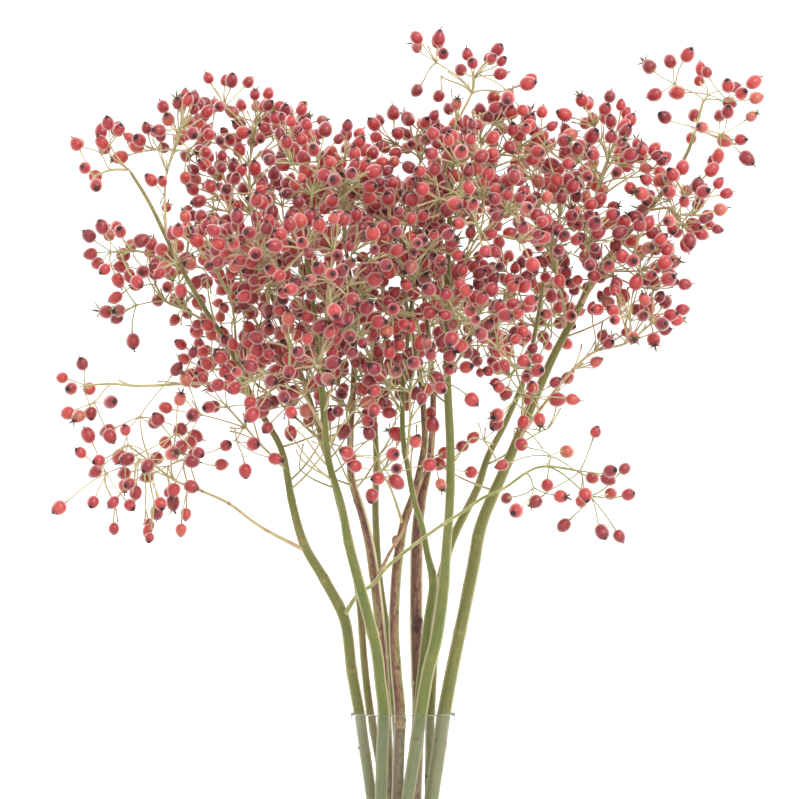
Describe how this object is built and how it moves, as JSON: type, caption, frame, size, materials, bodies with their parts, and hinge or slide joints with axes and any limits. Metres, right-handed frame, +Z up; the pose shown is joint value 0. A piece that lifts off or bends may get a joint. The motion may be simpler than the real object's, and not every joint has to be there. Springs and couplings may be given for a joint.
{
  "type": "rose hip bouquet in a glass vase",
  "caption": "Bouquet of cut rose hip branches: green and brown canes fan out of a plain clear cylinder vase and carry branching sprays of small red hips.",
  "frame": {"origin": "middle of the vase's flat underside, on the surface it stands on", "axes": "+Z up along the vase's axis, +X to the right and +Y to the back, as the bouquet is seen from the front"},
  "size_m": [0.4035, 0.2511, 0.5842],
  "materials": {
    "clear_glass": "clear polished glass",
    "green_bark": "smooth green bark, dull",
    "olive_bark": "smooth olive bark with pale flecks, dull",
    "brown_bark": "rough red-brown bark",
    "rose_hip": "satin red fruit skin",
    "hip_twig": "thin olive stalks, dull",
    "dry_calyx": "dry dark brown calyx"
  },
  "bodies": {
    "root": {"glass_vase": "clear_glass", "cane_01": "olive_bark", "cane_02": "olive_bark", "cane_03": "green_bark", "cane_04": "brown_bark", "cane_05": "olive_bark", "cane_06": "brown_bark", "cane_07": "brown_bark", "cane_08": "green_bark", "cane_09": "green_bark", "cane_10": "olive_bark", "cane_11": "olive_bark", "spray_01": "rose_hip", "spray_02": "rose_hip", "spray_03": "rose_hip", "spray_04": "rose_hip", "spray_05": "rose_hip", "spray_06": "rose_hip", "spray_07": "rose_hip", "spray_08": "rose_hip", "spray_09": "rose_hip", "spray_10": "rose_hip", "spray_11": "rose_hip", "spray_12": "rose_hip", "spray_13": "rose_hip", "spray_14": "rose_hip", "spray_15": "rose_hip", "spray_16": "rose_hip", "spray_17": "rose_hip", "spray_18": "rose_hip", "spray_19": "rose_hip", "spray_20": "rose_hip", "spray_21": "rose_hip", "spray_22": "rose_hip", "spray_23": "rose_hip", "spray_24": "rose_hip", "spray_25": "rose_hip", "spray_26": "rose_hip", "spray_27": "rose_hip", "spray_28": "rose_hip", "spray_29": "rose_hip", "spray_30": "rose_hip", "spray_31": "rose_hip", "spray_32": "rose_hip", "spray_33": "rose_hip", "spray_34": "rose_hip", "spray_35": "rose_hip", "spray_36": "rose_hip", "spray_37": "rose_hip", "spray_38": "rose_hip", "spray_39": "rose_hip", "spray_40": "rose_hip", "spray_41": "rose_hip", "spray_42": "rose_hip", "spray_43": "rose_hip", "spray_44": "rose_hip", "spray_45": "rose_hip", "spray_46": "rose_hip", "spray_47": "rose_hip", "spray_48": "rose_hip"}
  },
  "joints": []
}
